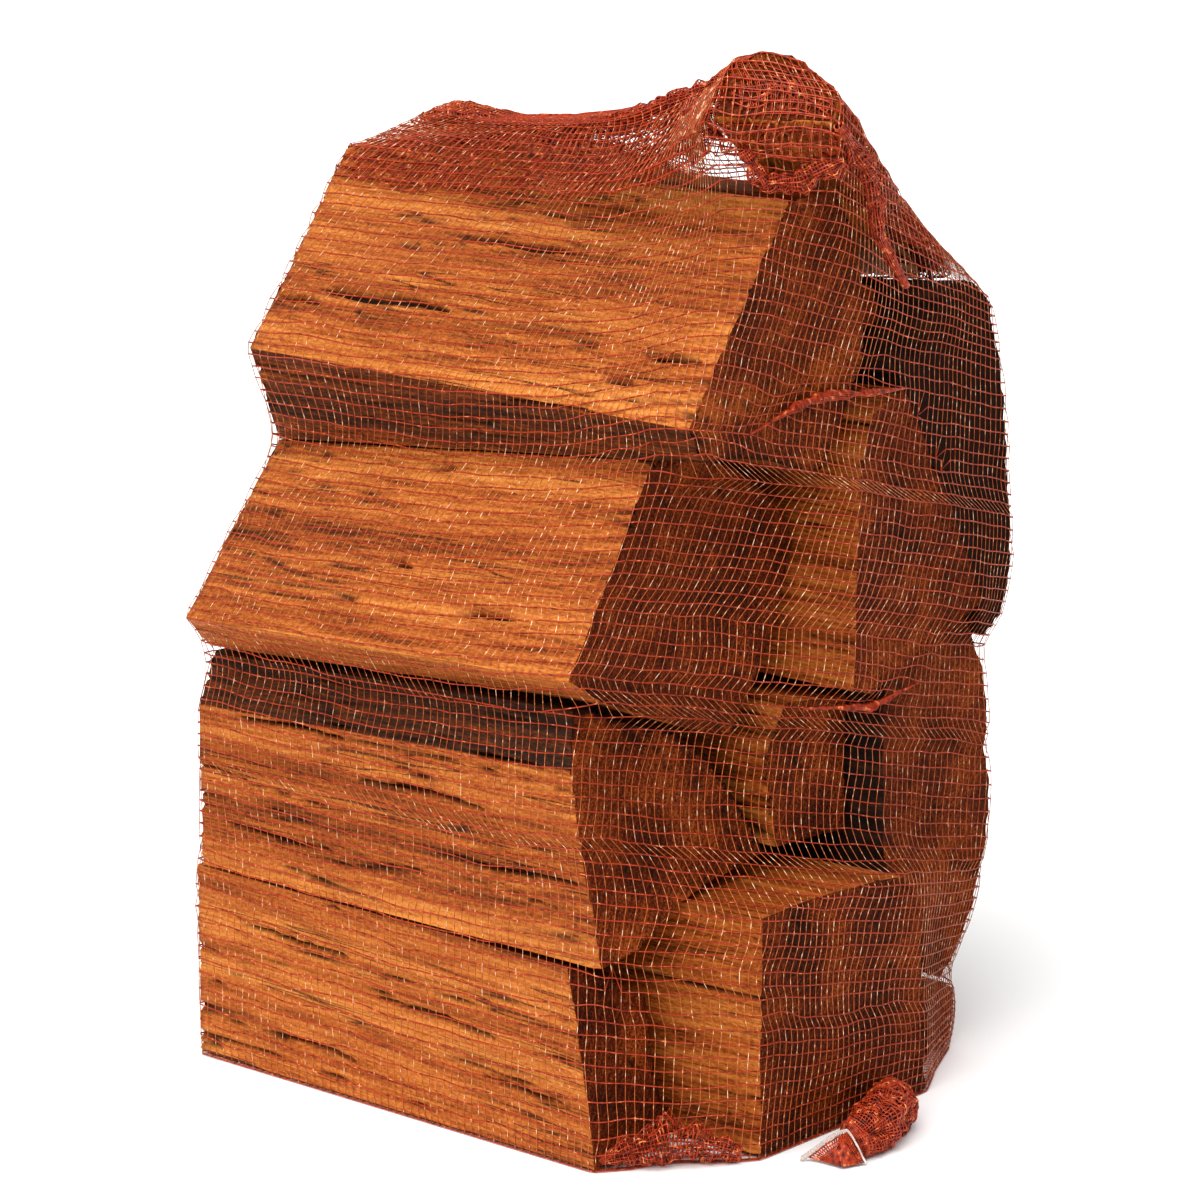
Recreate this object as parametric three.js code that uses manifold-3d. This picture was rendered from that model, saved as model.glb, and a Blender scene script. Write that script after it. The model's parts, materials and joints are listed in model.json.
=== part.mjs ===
// Firewood bundle: split hardwood logs standing in a knitted net bag.
//
// Units are millimetres, +Z is up. Most logs lie along X, with their long split faces
// towards -Y (the front) and their cut ends towards +X and -X. One log lies askew on
// top. The bag is a tube of netting pulled tight round the pile: flat underneath,
// gathered into a mouth at the top of the back, with one loose corner at its foot.
// The origin is on the floor, under the middle of the bundle.

import * as THREE from 'three';
import Module from 'manifold-3d';
import { ConvexGeometry } from 'three/addons/geometries/ConvexGeometry.js';
import { mergeVertices } from 'three/addons/utils/BufferGeometryUtils.js';

const wasm = await Module();
wasm.setup();

// ---------------------------------------------------------------- dimensions

const LOG_LENGTH = 250; // a short log, for a stove
const LEFT_END = -130; // where the left ends of most logs stand
const RIGHT_END = LEFT_END + LOG_LENGTH;
const BARK_STEPS = 4; // straight steps in one round stretch of bark

const LOG_FLOOR = 1.6; // the lowest logs stand this high, on the netting
const NET_UNDER = 1.2; // netting between the floor and the lowest logs
const NET_WALL = 1.5; // thickness that stands for the knitted net
const NET_GAP = 1.8; // play between the net and the logs
const NET_SIDES = 36; // directions in which the net is stretched
const RING_STEP = 14; // height from one ring of the bag to the next
const SHOULDER = 350; // above this the net runs straight from log to log

const MOUTH_AT = new THREE.Vector3(8, 119, 399); // where the net is gathered
const MOUTH_LEAN = new THREE.Vector3(0, 0.72, 0.69).normalize(); // where the gathers point
const MOUTH_BORE = 6;
const MOUTH_NECK = 9;
const MOUTH_FLARE = 13;
const MOUTH_LENGTH = 30;

const CORNER_WALL = 169.5; // the loose corner starts at this X, in the wall of the bag
// Slices of the loose corner, from back to front: [y, width, height].
const CORNER_SLICES = [[20, 14, 14], [-8, 26, 22], [-38, 36, 20], [-64, 40, 13]];
const TAPE_WIDTH = 3;
const TAPE_THICK = 0.8;
const TAPE_LIFT = 0.4; // clear of the floor and of the net behind it

// ----------------------------------------------------------------- materials

function finish(color, roughness) {
  return new THREE.MeshStandardMaterial({ color, roughness, metalness: 0 });
}

const splitWood = () => finish('#b4702f', 0.78);
const barkWood = () => finish('#4a2f1c', 0.88);
const netPolyethylene = () => finish('#c04418', 0.42);
const tapePolyethylene = () => finish('#efe6dc', 0.5);

// ------------------------------------------------------------------ the logs

// The outline of a log's cut end is written as [across, up] corners. A corner with a
// third value is the end of a round stretch of bark, which bulges by that much.
function endOutline(corners) {
  const shape = new THREE.Shape();
  shape.moveTo(corners[0][0], corners[0][1]);
  for (let i = 1; i <= corners.length; i += 1) {
    const [lastAcross, lastUp] = corners[i - 1];
    const [across, up, bulge = 0] = corners[i % corners.length];
    const chord = new THREE.Vector2(across - lastAcross, up - lastUp);
    if (bulge > 0) {
      const outward = new THREE.Vector2(chord.y, -chord.x).normalize();
      const pull = new THREE.Vector2(lastAcross, lastUp).addScaledVector(chord, 0.5);
      pull.addScaledVector(outward, 2 * bulge);
      shape.quadraticCurveTo(pull.x, pull.y, across, up);
    } else {
      shape.lineTo(across, up);
    }
  }
  return shape;
}

// A log is its left outline drawn out along the grain until it meets the right one.
// slant is how far the saw cut at the right end runs back for each mm of height.
function logSolid(left, right, length, slant) {
  const from = endOutline(left).getPoints(BARK_STEPS);
  const to = endOutline(right).getPoints(BARK_STEPS);
  const geometry = new THREE.ExtrudeGeometry(endOutline(left), {
    depth: length,
    bevelEnabled: false,
    curveSegments: BARK_STEPS,
  });
  const position = geometry.attributes.position;
  const here = new THREE.Vector2();
  for (let i = 0; i < position.count; i += 1) {
    if (position.getZ(i) > length / 2) {
      here.set(position.getX(i), position.getY(i));
      const corner = from.findIndex((point) => point.distanceTo(here) < 0.01);
      const back = slant * (to[corner].y - to[0].y);
      position.setXYZ(i, to[corner].x, to[corner].y, length - back);
    }
  }
  return geometry;
}

const logs = [];

function addLog(name, left, options = {}) {
  const { ends = [LEFT_END, RIGHT_END], right = left, slant = 0, bark = false } = options;
  const geometry = logSolid(left, right, ends[1] - ends[0], slant);
  // Across, up and along the grain become the pile's Y, Z and X.
  const alongX = new THREE.Matrix4().makeBasis(
    new THREE.Vector3(0, 1, 0),
    new THREE.Vector3(0, 0, 1),
    new THREE.Vector3(1, 0, 0),
  );
  geometry.applyMatrix4(alongX);
  geometry.translate(ends[0], 0, 0);
  const mesh = new THREE.Mesh(geometry, bark ? barkWood() : splitWood());
  mesh.name = name;
  logs.push(mesh);
  return mesh;
}

// Front column, from the floor up. Their long split faces make the front.
addLog('log_front_bottom', [
  [-140, LOG_FLOOR],
  [-89, LOG_FLOOR],
  [-89, 96],
  [-122, 97],
  [-140, 96],
], {
  ends: [LEFT_END - 3, 122],
  slant: 0.19,
  right: [
    [-140, LOG_FLOOR],
    [-89, LOG_FLOOR],
    [-89, 69],
    [-122, 88],
    [-140, 95],
  ],
});

addLog('log_front_low', [
  [-140, 96.5],
  [-110, 99],
  [-80, 114],
  [-62, 118],
  [-16, 124],
  [-26, 142],
  [-66, 190.8, 4],
  [-112, 198.6],
  [-130, 200.5, 2],
  [-140, 176],
], {
  ends: [LEFT_END, 125],
  slant: 0.2,
  right: [
    [-140, 96.5],
    [-110, 100],
    [-80, 114],
    [-62, 118],
    [-16, 124],
    [-26, 142],
    [-66, 189, 4],
    [-114, 206],
    [-132, 212, 2],
    [-141, 186],
  ],
});

addLog('log_front_high', [
  [-150, 222],
  [-134, 205],
  [-60, 190],
  [-36, 184],
  [-12, 216],
  [6, 262],
  [-6, 280, 2],
  [-60, 298, 3],
  [-86, 298],
], {
  ends: [LEFT_END + 3, 115],
  right: [
    [-150, 231],
    [-128, 217],
    [-60, 190],
    [-36, 184],
    [-12, 216],
    [8, 268],
    [-6, 290, 2],
    [-60, 318, 3],
    [-93, 322],
  ],
});

addLog('log_front_top', [
  [-107, 346],
  [-88, 298.5],
  [-58, 299.6],
  [-10, 292],
  [19, 351],
  [21, 383],
  [14, 412],
  [1, 435],
  [-38, 435],
], {
  ends: [LEFT_END + 5, 146],
  right: [
    [-105, 342],
    [-96, 325],
    [-58, 322],
    [-12, 306],
    [19, 351],
    [21, 383],
    [14, 412],
    [1, 436],
    [-37, 436],
  ],
});

// Behind them stand the logs whose cut ends show past the ends of the front column.
addLog('log_end_bottom', [
  [-80, LOG_FLOOR],
  [46, LOG_FLOOR],
  [44, 80],
  [30, 100, 4],
  [-74, 102, 2],
], {
  ends: [LEFT_END + 34, 167],
  right: [
    [-78, LOG_FLOOR],
    [48, LOG_FLOOR],
    [42, 84],
    [28, 112, 4],
    [-77, 116, 2],
  ],
});

addLog('log_back_bottom', [[53, LOG_FLOOR], [106, LOG_FLOOR], [110, 30, 3], [100, 36], [53, 36]], {
  ends: [LEFT_END + 6, 136],
});

addLog('log_end_low', [[-14, 126], [38, 124], [38, 190], [-8, 195], [-25, 168]], {
  ends: [LEFT_END, 124],
});

addLog('log_back_low', [
  [43, 122],
  [56, 52],
  [92, 40],
  [122, 86, 5],
  [125, 150, 6],
  [118, 199, 4],
  [107, 220],
  [60, 206],
  [43, 199],
], { ends: [LEFT_END + 8, 142], bark: true });

addLog('log_end_middle', [
  [9, 201],
  [24, 197],
  [76, 214],
  [108, 226],
  [77, 286],
  [45, 332],
  [20, 330],
  [12, 300],
], {
  ends: [LEFT_END + 10, 150],
  right: [
    [9, 201],
    [24, 197],
    [76, 214],
    [111, 226],
    [77, 290],
    [45, 339],
    [20, 330],
    [12, 300],
  ],
});

addLog('log_back_middle', [
  [53, 343],
  [84, 290],
  [116, 226],
  [124, 204],
  [138, 212],
  [142, 272, 6],
  [130, 356, 4],
  [100, 356, 2],
  [78, 351, 2],
  [70, 348],
], {
  ends: [LEFT_END + 4, 140],
  bark: true,
  right: [
    [53, 343],
    [84, 290],
    [116, 226],
    [124, 204],
    [138, 212],
    [142, 272, 6],
    [125, 366, 4],
    [104, 382, 2],
    [84, 376, 2],
    [76, 359],
  ],
});

addLog('log_top_left', [[26, 408], [24, 424], [12, 446], [36, 449], [66, 432], [68, 410]], {
  ends: [LEFT_END + 8, 112],
  right: [[32, 355], [31, 370], [28, 384], [46, 387], [72, 378], [76, 362]],
});

// The topmost log lies askew, from the front right corner down to the middle of the back.
const CROSS_START = new THREE.Vector3(142, -42, 501);
const CROSS_ALONG = new THREE.Vector3(-0.4, 0.78, -0.48).normalize();
const CROSS_NEAR = [[8, 0], [-8, 0], [-32, -20], [-30, -32], [25, -31], [20, -13]];
const CROSS_FAR = [[8, 0], [-8, 0], [-34, -12], [-34, -23], [16, -22], [16, -13]];

function crossLog() {
  const geometry = logSolid(CROSS_NEAR, CROSS_FAR, LOG_LENGTH - 20, 0);
  const across = new THREE.Vector3(0, 0, 1).cross(CROSS_ALONG).normalize();
  const up = new THREE.Vector3().crossVectors(CROSS_ALONG, across);
  const mesh = new THREE.Mesh(geometry, splitWood());
  mesh.name = 'log_top_cross';
  mesh.applyMatrix4(new THREE.Matrix4().makeBasis(across, up, CROSS_ALONG));
  mesh.position.copy(CROSS_START);
  return mesh;
}

logs.push(crossLog());

// --------------------------------------------------------------- the net bag

// The corners of every log as they stand in the pile, and the edges between them.
function logEdges(mesh) {
  mesh.updateMatrixWorld();
  const corners = new THREE.EdgesGeometry(mesh.geometry, 1).attributes.position;
  const edges = [];
  for (let i = 0; i < corners.count; i += 2) {
    const from = new THREE.Vector3().fromBufferAttribute(corners, i);
    const to = new THREE.Vector3().fromBufferAttribute(corners, i + 1);
    edges.push([from.applyMatrix4(mesh.matrixWorld), to.applyMatrix4(mesh.matrixWorld)]);
  }
  return edges;
}

const pileEdges = logs.flatMap(logEdges);
const pileCorners = pileEdges.flat();
const topCorners = pileCorners.filter((corner) => corner.z > SHOULDER - RING_STEP);
const PILE_TOP = Math.max(...topCorners.map((corner) => corner.z));

// Above the shoulder of the bag the net also runs straight from log to log.
const topRuns = [...pileEdges];
for (const low of topCorners) {
  for (const high of topCorners) {
    if (high.z > low.z) topRuns.push([low, high]);
  }
}

// Where the pile, or the net that spans it, is cut by a level plane.
function levelCut(height) {
  const spans = height > SHOULDER ? topRuns : pileEdges;
  const points = [];
  for (const [a, b] of spans) {
    if (Math.min(a.z, b.z) <= height && Math.max(a.z, b.z) >= height && a.z !== b.z) {
      points.push(a.clone().lerp(b, (height - a.z) / (b.z - a.z)));
    }
  }
  return points;
}

// How far the pile reaches in each direction round the bag, between two heights.
function reach(from, to) {
  const cuts = pileCorners.filter((corner) => corner.z >= from && corner.z <= to);
  for (let part = 0; part <= 4; part += 1) {
    const height = THREE.MathUtils.lerp(from, to, part / 4);
    cuts.push(...levelCut(THREE.MathUtils.clamp(height, LOG_FLOOR + 0.1, PILE_TOP - 0.5)));
  }
  const distances = [];
  for (let side = 0; side < NET_SIDES; side += 1) {
    const angle = (2 * Math.PI * side) / NET_SIDES;
    const along = (point) => point.x * Math.cos(angle) + point.y * Math.sin(angle);
    distances.push(Math.max(...cuts.map(along)));
  }
  return distances;
}

// One ring of net: the outline stretched round those distances, play mm further out.
function ring(distances, play, height) {
  const corners = [];
  const turn = (2 * Math.PI) / NET_SIDES;
  for (let side = 0; side < NET_SIDES; side += 1) {
    const near = distances[side] + play;
    const next = distances[(side + 1) % NET_SIDES] + play;
    const angle = turn * side;
    const sideways = (next - near * Math.cos(turn)) / Math.sin(turn);
    const x = near * Math.cos(angle) - sideways * Math.sin(angle);
    const y = near * Math.sin(angle) + sideways * Math.cos(angle);
    corners.push(new THREE.Vector3(x, y, height));
  }
  return corners;
}

const ringCount = Math.ceil(PILE_TOP / RING_STEP);
const ringHeights = [];
for (let i = 0; i <= ringCount; i += 1) {
  ringHeights.push((PILE_TOP * i) / ringCount);
}
const ringReaches = ringHeights.map((height, i) => reach(
  ringHeights[Math.max(i - 1, 0)],
  ringHeights[Math.min(i + 1, ringCount)],
));

function toSolid(geometry) {
  const bare = geometry.clone();
  bare.deleteAttribute('normal');
  bare.deleteAttribute('uv');
  const merged = mergeVertices(bare, 1e-4);
  return new wasm.Manifold(new wasm.Mesh({
    numProp: 3,
    vertProperties: new Float32Array(merged.attributes.position.array),
    triVerts: new Uint32Array(merged.index.array),
  }));
}

function toGeometry(solid) {
  const { vertProperties, triVerts } = solid.getMesh();
  const geometry = new THREE.BufferGeometry();
  geometry.setAttribute('position', new THREE.BufferAttribute(vertProperties, 3));
  geometry.setIndex(new THREE.BufferAttribute(triVerts, 1));
  return geometry;
}

// A filled bag: a lathe blank, one band of it for each ring, pulled out to the rings.
function filledBag(play, bottom, top) {
  const levels = [bottom, ...ringHeights.slice(1, -1), top];
  const profile = levels.map((height) => new THREE.Vector2(1, height));
  profile.unshift(new THREE.Vector2(0, bottom));
  profile.push(new THREE.Vector2(0, top));
  const blank = new THREE.LatheGeometry(profile, NET_SIDES);
  const rings = levels.map((height, i) => ring(ringReaches[i], play, height));
  const middle = (corners) => corners
    .reduce((sum, corner) => sum.add(corner), new THREE.Vector3())
    .divideScalar(corners.length);
  const grid = [
    new Array(NET_SIDES).fill(middle(rings[0])),
    ...rings,
    new Array(NET_SIDES).fill(middle(rings[rings.length - 1])),
  ];
  // A lathe blank stores its points one radius after another, round the axis.
  const position = blank.attributes.position;
  for (let side = 0; side <= NET_SIDES; side += 1) {
    for (let level = 0; level < grid.length; level += 1) {
      const corner = grid[level][side % NET_SIDES];
      position.setXYZ(side * grid.length + level, corner.x, corner.y, corner.z);
    }
  }
  return toSolid(blank);
}

// A turned piece at the gathered mouth, from [radius, height along the neck] corners.
function mouthPiece(corners) {
  const profile = corners.map(([radius, along]) => new THREE.Vector2(radius, along));
  const neck = new THREE.LatheGeometry(profile, 16);
  const turnAxis = new THREE.Vector3(0, 1, 0);
  neck.applyQuaternion(new THREE.Quaternion().setFromUnitVectors(turnAxis, MOUTH_LEAN));
  neck.translate(MOUTH_AT.x, MOUTH_AT.y, MOUTH_AT.z);
  return toSolid(neck);
}

// The loose corner of the bag: a low wedge of bunched net at the foot of the pile.
function looseCorner() {
  const points = [];
  for (const [y, width, height] of CORNER_SLICES) {
    points.push(new THREE.Vector3(CORNER_WALL, y, 0));
    for (let step = 0; step <= 6; step += 1) {
      const angle = (Math.PI / 2) * (step / 6);
      const x = CORNER_WALL + width * Math.cos(angle);
      points.push(new THREE.Vector3(x, y, height * Math.sin(angle)));
    }
  }
  return toSolid(new ConvexGeometry(points));
}

function netBag() {
  const outside = filledBag(NET_GAP + NET_WALL, 0, PILE_TOP + NET_GAP + NET_WALL);
  const inside = filledBag(NET_GAP, NET_UNDER, PILE_TOP + NET_GAP);
  const neck = mouthPiece([
    [0, -2],
    [MOUTH_FLARE, -2],
    [MOUTH_NECK, 8],
    [MOUTH_NECK, 14],
    [MOUTH_FLARE, MOUTH_LENGTH],
    [0, MOUTH_LENGTH],
  ]);
  const bore = mouthPiece([
    [0, -12],
    [MOUTH_BORE, -12],
    [MOUTH_BORE, MOUTH_LENGTH + 5],
    [0, MOUTH_LENGTH + 5],
  ]);
  const bag = outside.add(neck).add(looseCorner()).subtract(inside).subtract(bore);
  const mesh = new THREE.Mesh(toGeometry(bag), netPolyethylene());
  mesh.name = 'net_bag';
  return mesh;
}

// The tape sewn along the hem, where the loose corner shows it: a flat arch.
function hemTape() {
  const [y, width, height] = CORNER_SLICES[CORNER_SLICES.length - 1];
  const arch = new THREE.Shape();
  const footX = CORNER_WALL + width;
  const tip = new THREE.Vector2(footX - 14, height);
  arch.moveTo(footX, TAPE_LIFT);
  arch.lineTo(tip.x, tip.y);
  arch.lineTo(footX - 28, TAPE_LIFT);
  arch.lineTo(footX - 28 + TAPE_WIDTH * 1.4, TAPE_LIFT);
  arch.lineTo(tip.x, tip.y - TAPE_WIDTH * 1.3);
  arch.lineTo(footX - TAPE_WIDTH, TAPE_LIFT);
  const geometry = new THREE.ExtrudeGeometry(arch, { depth: TAPE_THICK, bevelEnabled: false });
  geometry.rotateX(Math.PI / 2);
  const mesh = new THREE.Mesh(geometry, tapePolyethylene());
  mesh.name = 'hem_tape';
  mesh.position.y = y - TAPE_LIFT;
  return mesh;
}

// ------------------------------------------------------------- the pile, set

const bundle = new THREE.Group();
bundle.add(...logs, netBag(), hemTape());

// Bring the origin to the floor, under the middle of the bundle.
const extent = new THREE.Box3().setFromObject(bundle, true);
const centre = extent.getCenter(new THREE.Vector3());
bundle.position.set(-centre.x, -centre.y, -extent.min.z);

export default bundle;
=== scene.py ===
# %% [markdown]
# # A net bag of split firewood
#
# Stove logs are sawn to one length, split along the grain and packed in a knitted net
# bag. The frame gives the place and size of each log and of the bag. Here each log gets
# its torn, fibrous split faces and its sawn ends, and the bag becomes real netting: weft
# threads that run round the pile, and finer warp threads that run up it.

# %% Load the frame
import json
import math

import bmesh
import bpy
import numpy as np
from mathutils import Matrix, Vector, noise
from mathutils.bvhtree import BVHTree
from mathutils.geometry import convex_hull_2d


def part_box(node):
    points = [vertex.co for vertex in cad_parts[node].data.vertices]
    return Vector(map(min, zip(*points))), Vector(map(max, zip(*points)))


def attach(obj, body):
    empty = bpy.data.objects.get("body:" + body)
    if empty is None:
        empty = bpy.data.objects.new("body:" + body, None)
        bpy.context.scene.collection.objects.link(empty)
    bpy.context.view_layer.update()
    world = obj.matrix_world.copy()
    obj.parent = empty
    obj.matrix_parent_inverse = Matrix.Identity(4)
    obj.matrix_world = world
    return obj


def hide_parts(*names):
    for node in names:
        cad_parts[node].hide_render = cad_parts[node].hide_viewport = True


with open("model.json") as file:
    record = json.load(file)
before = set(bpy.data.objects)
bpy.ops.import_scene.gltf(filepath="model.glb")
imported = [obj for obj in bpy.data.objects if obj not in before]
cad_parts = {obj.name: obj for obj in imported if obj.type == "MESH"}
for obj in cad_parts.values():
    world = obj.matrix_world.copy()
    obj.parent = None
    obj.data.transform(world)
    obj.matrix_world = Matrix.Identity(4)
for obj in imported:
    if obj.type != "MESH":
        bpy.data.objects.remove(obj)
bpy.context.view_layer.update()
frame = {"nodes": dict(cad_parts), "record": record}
MM = 0.001
scene = bpy.context.scene
slots = {part["node"]: part["material_slot"] for part in frame["record"]["subparts"]}
log_names = sorted(name for name in frame["nodes"] if name.startswith("log_"))

# %% [markdown]
# ## The camera
#
# A long lens from a few metres away keeps the upright lines of the pile nearly parallel.
# The camera stands to the right of the front, a little above the middle of the bundle.

# %% Camera
LENS = 144
AZIMUTH = math.radians(41)
ELEVATION = math.radians(13.5)
DISTANCE = 2.3
AIM = Vector((-0.0307, -0.0020, 0.2245))

back = Vector((
    math.sin(AZIMUTH) * math.cos(ELEVATION),
    -math.cos(AZIMUTH) * math.cos(ELEVATION),
    math.sin(ELEVATION),
))
camera = bpy.data.objects.new("camera", bpy.data.cameras.new("camera"))
camera.data.lens = LENS
camera.location = AIM + back * DISTANCE
camera.rotation_mode = "QUATERNION"
camera.rotation_quaternion = (-back).to_track_quat("-Z", "Y")
scene.collection.objects.link(camera)
scene.camera = camera
print("the camera stands at", [round(part, 2) for part in camera.location])


# %% [markdown]
# ## Helpers for materials
#
# Colours are written as sRGB hex values, as a colour picker shows them, and Blender's
# shaders want linear light. A material is a tree of nodes, and one small function adds a
# node with its settings, its fixed inputs and its links.

# %% Colour and node helpers
def linear(code):
    """A hex colour such as #c04418, as linear red, green, blue and a full alpha."""
    parts = [int(code[i:i + 2], 16) / 255 for i in (1, 3, 5)]
    return [p / 12.92 if p <= 0.04045 else ((p + 0.055) / 1.055) ** 2.4 for p in parts] + [1]


def put(tree, kind, inputs=None, stops=None, **settings):
    """Adds a node. inputs hold values or sockets, and stops are a ramp's (place, hex)."""
    made = tree.nodes.new("ShaderNode" + kind)
    for name, value in settings.items():
        setattr(made, name, value)
    for name, value in (inputs or {}).items():
        if isinstance(value, bpy.types.NodeSocket):
            tree.links.new(value, made.inputs[name])
        else:
            made.inputs[name].default_value = value
    if stops:
        ramp = made.color_ramp.elements
        while len(ramp) < len(stops):
            ramp.new(0.5)
        for element, (place, code) in zip(ramp, stops):
            element.position = place
            element.color = linear(code)
    return made


def new_material(name):
    """An empty material, its node tree and its output node."""
    material = bpy.data.materials.new(name)
    material.use_nodes = True
    material.node_tree.nodes.clear()
    return material, material.node_tree, put(material.node_tree, "OutputMaterial")


def stretched(tree, grain, along, across, detail=5.0, roughness=0.6, shift=0.0):
    """Noise drawn out along the grain: along and across are patches per metre."""
    place = put(tree, "Mapping", {
        "Vector": grain.outputs["Vector"],
        "Location": (shift, shift, shift),
        "Scale": (along, across, across),
    })
    return put(tree, "TexNoise", {
        "Vector": place.outputs["Vector"],
        "Scale": 1.0,
        "Detail": detail,
        "Roughness": roughness,
    }).outputs["Fac"]


def hairlines(tree, value, width):
    """Thin lines, 1 on the line, wherever a noise value passes through its middle: hairline
    cracks, painted dark as painted shade.
    """
    off = put(tree, "Math", {0: value, 1: 0.5}, operation="SUBTRACT")
    size = put(tree, "Math", {0: off.outputs[0]}, operation="ABSOLUTE")
    return put(tree, "MapRange", {
        "Value": size.outputs[0], "From Min": 0.0, "From Max": width, "To Min": 1.0, "To Max": 0.0,
    }).outputs["Result"]


# %% [markdown]
# ## Wood, split along the grain
#
# An axe opens a log between its fibres, so the face is torn into long shallow plates, and
# its colour runs in streaks along the grain. Every log carries an attribute called grain:
# the place of each point measured along and across its own fibres. Patterns read it, so
# that a log lying askew has its grain askew too. Two more attributes say how deep a point
# lies in a crack, where the wood is painted nearly black as painted shade, and how much
# lighter or darker the wood is at that place, a tint that also carries painted shade and a
# painted highlight.

# %% Split wood
def split_wood(name, weathered_and_shaded, dark, middle, light):
    """Air-dried hardwood, split with an axe: matt, fibrous and streaked, with painted shade in its
    cracks.
    """
    material, tree, output = new_material(name)
    grain = put(tree, "Attribute", attribute_name="grain")
    tint = put(tree, "Attribute", attribute_name="tint")
    band = stretched(tree, grain, 2.2, 70, detail=2.0, roughness=0.5)  # growth, 14 mm apart
    fibre = stretched(tree, grain, 20, 480, detail=4.0, roughness=0.7, shift=3.0)  # 2 mm
    pores = stretched(tree, grain, 380, 1100, detail=1.0, shift=5.0)  # torn fibre ends
    total = tint.outputs["Fac"]
    for pattern, weight in ((band, 0.36), (fibre, 0.40), (pores, 0.24)):
        tone = put(tree, "Math", {0: pattern, 1: weight, 2: total}, operation="MULTIPLY_ADD")
        total = tone.outputs[0]
    # The lowest stop is reached by the lowest tints: weathered wood, and painted shade on an
    # underside.
    colour = put(tree, "ValToRGB", {"Fac": total}, stops=[
        (0.27, weathered_and_shaded), (0.38, dark), (0.48, middle), (0.61, light),
    ])
    seam = hairlines(tree, stretched(tree, grain, 4, 130, detail=2.0, shift=7.0), 0.016)
    part = put(tree, "MapRange", {
        "Value": stretched(tree, grain, 5, 70, detail=2.0, shift=11.0),
        "From Min": 0.48, "From Max": 0.58, "To Min": 0.0, "To Max": 0.9,
    })
    seam = put(tree, "Math", {0: seam, 1: part.outputs["Result"]}, operation="MULTIPLY")
    crack = put(tree, "Attribute", attribute_name="crack")
    depth = put(tree, "Math", {0: seam.outputs[0], 1: crack.outputs["Fac"]}, operation="MAXIMUM")
    # Painted shade: cracks, shakes and hairline seams are painted nearly black (#240e04), as the
    # shade inside a narrow slot.
    shade = put(tree, "Mix", {
        "Factor": depth.outputs[0],
        "A": colour.outputs["Color"],
        "B": linear("#240e04"),
    }, data_type="RGBA")
    height = put(tree, "Math", {0: fibre, 1: seam.outputs[0]}, operation="SUBTRACT")
    bump = put(tree, "Bump", {
        "Height": height.outputs[0], "Strength": 0.6, "Distance": 0.7 * MM,
    })
    surface = put(tree, "BsdfPrincipled", {
        "Base Color": shade.outputs["Result"],
        "Roughness": 0.68,
        "IOR": 1.5,
        "Specular IOR Level": 0.25,
        "Normal": bump.outputs["Normal"],
    })
    tree.links.new(surface.outputs["BSDF"], output.inputs["Surface"])
    return material


# %% Sawn ends
def sawn_end(name, dark, middle, light):
    """End grain from a saw, with faint saw marks and rings. It is darker than the split face:
    partly the end grain's own colour, partly painted shade for ends that face away from the key
    light.
    """
    material, tree, output = new_material(name)
    grain = put(tree, "Attribute", attribute_name="grain")
    blotch = put(tree, "TexNoise", {
        "Vector": grain.outputs["Vector"], "Scale": 30.0, "Detail": 6.0, "Roughness": 0.62,
    })
    pores = put(tree, "TexNoise", {
        "Vector": grain.outputs["Vector"], "Scale": 900.0, "Detail": 2.0,
    })
    rings = put(tree, "TexWave", {
        "Vector": grain.outputs["Vector"],
        "Scale": 90.0,
        "Distortion": 5.0,
        "Detail": 2.0,
        "Detail Scale": 0.35,
    }, wave_type="RINGS", rings_direction="X")
    tone = put(tree, "Math", {0: blotch.outputs["Fac"], 1: pores.outputs["Fac"]}, operation="ADD")
    tone = put(tree, "Math", {0: tone.outputs[0], 1: 0.47}, operation="MULTIPLY")
    tone = put(tree, "Math", {0: rings.outputs["Fac"], 1: 0.05, 2: tone.outputs[0]},
               operation="MULTIPLY_ADD")
    tint = put(tree, "Attribute", attribute_name="tint")
    tone = put(tree, "Math", {0: tone.outputs[0], 1: tint.outputs["Fac"]}, operation="ADD")
    colour = put(tree, "ValToRGB", {"Fac": tone.outputs[0]}, stops=[
        (0.36, dark), (0.5, middle), (0.63, light),
    ])
    crack = put(tree, "Attribute", attribute_name="crack")
    # Painted shade: the drying checks are painted nearly black (#140a05), as the shade inside
    # them.
    shade = put(tree, "Mix", {
        "Factor": crack.outputs["Fac"],
        "A": colour.outputs["Color"],
        "B": linear("#140a05"),
    }, data_type="RGBA")
    bump = put(tree, "Bump", {
        "Height": pores.outputs["Fac"], "Strength": 0.5, "Distance": 0.5 * MM,
    })
    surface = put(tree, "BsdfPrincipled", {
        "Base Color": shade.outputs["Result"],
        "Roughness": 0.85,
        "IOR": 1.5,
        "Specular IOR Level": 0.2,
        "Normal": bump.outputs["Normal"],
    })
    tree.links.new(surface.outputs["BSDF"], output.inputs["Surface"])
    return material


# %% Bark
def rough_bark(name):
    """Dry hardwood bark: nearly black in its furrows, grey-brown on its ridges. The colour follows
    the bump's noise, so the dark furrows are partly the bark's own colour and partly painted
    shade.
    """
    material, tree, output = new_material(name)
    grain = put(tree, "Attribute", attribute_name="grain")
    furrow = stretched(tree, grain, 26, 110, detail=6.0, roughness=0.7)
    colour = put(tree, "ValToRGB", {"Fac": furrow}, stops=[
        (0.36, "#120703"), (0.52, "#2c1408"), (0.7, "#56321b"),
    ])
    bump = put(tree, "Bump", {"Height": furrow, "Strength": 0.9, "Distance": 2 * MM})
    surface = put(tree, "BsdfPrincipled", {
        "Base Color": colour.outputs["Color"],
        "Roughness": 0.9,
        "IOR": 1.5,
        "Normal": bump.outputs["Normal"],
    })
    tree.links.new(surface.outputs["BSDF"], output.inputs["Surface"])
    return material


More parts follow.
